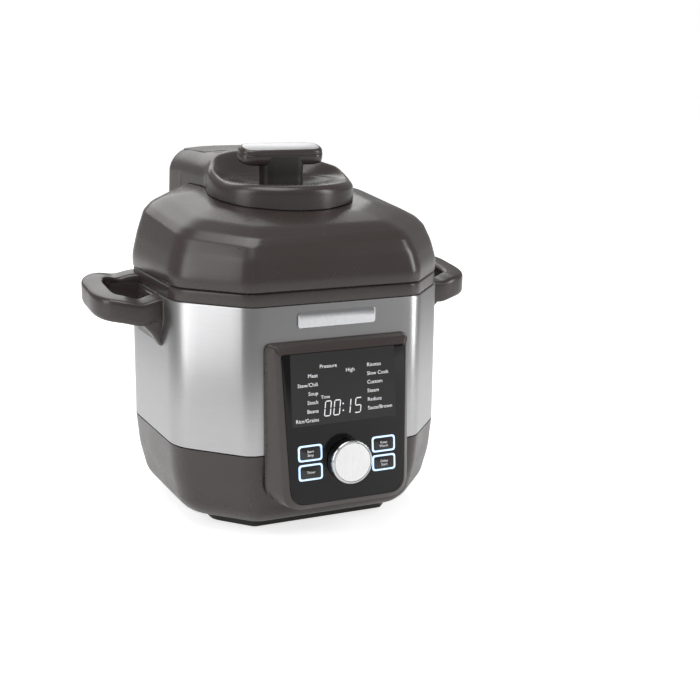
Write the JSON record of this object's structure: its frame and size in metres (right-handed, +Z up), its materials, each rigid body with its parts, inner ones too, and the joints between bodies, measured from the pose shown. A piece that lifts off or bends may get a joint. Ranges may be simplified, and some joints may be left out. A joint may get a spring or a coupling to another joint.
{
  "type": "electric pressure cooker",
  "caption": "Electric pressure cooker with a hinged locking lid, steam vent, inner pot, tilted control panel, side handles and a slide-out condensate cup.",
  "frame": {"origin": "middle of the object's box at the height of the feet", "axes": "+X from the left handle to the right one as seen from the front, -Y towards the control panel, +Z up"},
  "size_m": [0.396, 0.358, 0.3584],
  "materials": {
    "charcoal": "fine satin moulded",
    "dark_plastic": "satin moulded",
    "brushed_band": "brushed round the body",
    "satin_steel": "satin",
    "cast_metal": "die cast",
    "black_glass": "glossy black",
    "light_frame": "lit from inside",
    "foot_rubber": "matte",
    "gasket_silicone": "matte",
    "chrome_trim": "polished",
    "circuit": "solder mask",
    "smoke_plastic": "translucent smoke"
  },
  "bodies": {
    "housing": {"base_housing": "charcoal", "bottom_plate": "dark_plastic", "base_screw_1": "satin_steel", "base_screw_2": "satin_steel", "base_screw_3": "satin_steel", "base_screw_4": "satin_steel", "foot_1": "foot_rubber", "foot_2": "foot_rubber", "foot_3": "foot_rubber", "foot_4": "foot_rubber", "steel_band": "brushed_band", "top_collar": "charcoal", "lug_ring": "satin_steel", "heating_well": "satin_steel", "heating_plate": "cast_metal", "inner_pot": "satin_steel", "sensor_spring": "satin_steel", "sensor_cup": "dark_plastic", "power_board": "circuit", "power_inlet": "dark_plastic", "handle_left": "charcoal", "handle_right": "charcoal", "control_bezel": "charcoal", "display_glass": "black_glass", "button_light_1": "light_frame", "button_light_2": "light_frame", "button_light_3": "light_frame", "button_light_4": "light_frame", "display_module": "dark_plastic", "control_board": "circuit", "dial_encoder": "cast_metal", "front_badge": "chrome_trim", "hinge_bracket": "dark_plastic", "hinge_pin": "satin_steel", "lid_spring": "satin_steel", "cup_rail": "dark_plastic"},
    "lid": {"lid_cover": "charcoal", "lid_lining": "dark_plastic", "lid_console": "charcoal", "pressure_lid": "satin_steel", "sealing_gasket": "gasket_silicone", "exhaust_pipe": "satin_steel"},
    "lid_lock": {"lock_ring": "satin_steel", "lock_spider": "cast_metal", "lock_shaft": "satin_steel", "lock_handle": "charcoal", "handle_inlay": "brushed_band", "handle_screw": "satin_steel"},
    "vent_cover": {"steam_vent_cover": "charcoal"},
    "weight": {"pressure_weight": "dark_plastic"},
    "float": {"float_valve": "satin_steel"},
    "sensor": {"pot_sensor": "cast_metal"},
    "cup": {"condensate_cup": "smoke_plastic"},
    "button_1": {"button_1": "dark_plastic"},
    "button_2": {"button_2": "dark_plastic"},
    "button_3": {"button_3": "dark_plastic"},
    "button_4": {"button_4": "dark_plastic"},
    "spindle": {"dial_spindle": "satin_steel"},
    "knob": {"selector_knob": "chrome_trim", "knob_cap": "satin_steel"}
  },
  "joints": [
    {"name": "lid_hinge", "type": "hinge", "parent": "housing", "child": "lid", "pos_m": [0, 0.155, 0.232], "axis": [-1, 0, 0], "range_deg": [0, 82]},
    {"name": "lid_lock_turn", "type": "hinge", "parent": "lid", "child": "lid_lock", "pos_m": [0, -0.005, 0.348], "axis": [0, 0, 1], "range_deg": [0, 30]},
    {"name": "vent_cover_lift", "type": "slide", "parent": "lid", "child": "vent_cover", "axis": [0, 0, 1], "range_m": [0, 0.012]},
    {"name": "weight_lift", "type": "slide", "parent": "lid", "child": "weight", "axis": [0, 0, 1], "range_m": [0, 0.0025]},
    {"name": "float_lift", "type": "slide", "parent": "lid", "child": "float", "axis": [0, 0, 1], "range_m": [0, 0.004]},
    {"name": "sensor_press", "type": "slide", "parent": "housing", "child": "sensor", "axis": [0, 0, 1], "range_m": [-0.003, 0], "stiffness_N_per_m": 600, "deforming": ["sensor_spring"]},
    {"name": "cup_slide", "type": "slide", "parent": "housing", "child": "cup", "axis": [0, 1, 0], "range_m": [0, 0.04]},
    {"name": "button_1_press", "type": "slide", "parent": "housing", "child": "button_1", "axis": [0, 0.9962, -0.0872], "range_m": [0, 0.0008], "stiffness_N_per_m": 900},
    {"name": "button_2_press", "type": "slide", "parent": "housing", "child": "button_2", "axis": [0, 0.9962, -0.0872], "range_m": [0, 0.0008], "stiffness_N_per_m": 900},
    {"name": "button_3_press", "type": "slide", "parent": "housing", "child": "button_3", "axis": [0, 0.9962, -0.0872], "range_m": [0, 0.0008], "stiffness_N_per_m": 900},
    {"name": "button_4_press", "type": "slide", "parent": "housing", "child": "button_4", "axis": [0, 0.9962, -0.0872], "range_m": [0, 0.0008], "stiffness_N_per_m": 900},
    {"name": "dial_press", "type": "slide", "parent": "housing", "child": "spindle", "axis": [0, 0.9962, -0.0872], "range_m": [0, 0.0008], "stiffness_N_per_m": 900},
    {"name": "dial_turn", "type": "hinge", "parent": "spindle", "child": "knob", "pos_m": [0, -0.17484, 0.08], "axis": [0, 0.9962, -0.0872], "continuous": true}
  ]
}
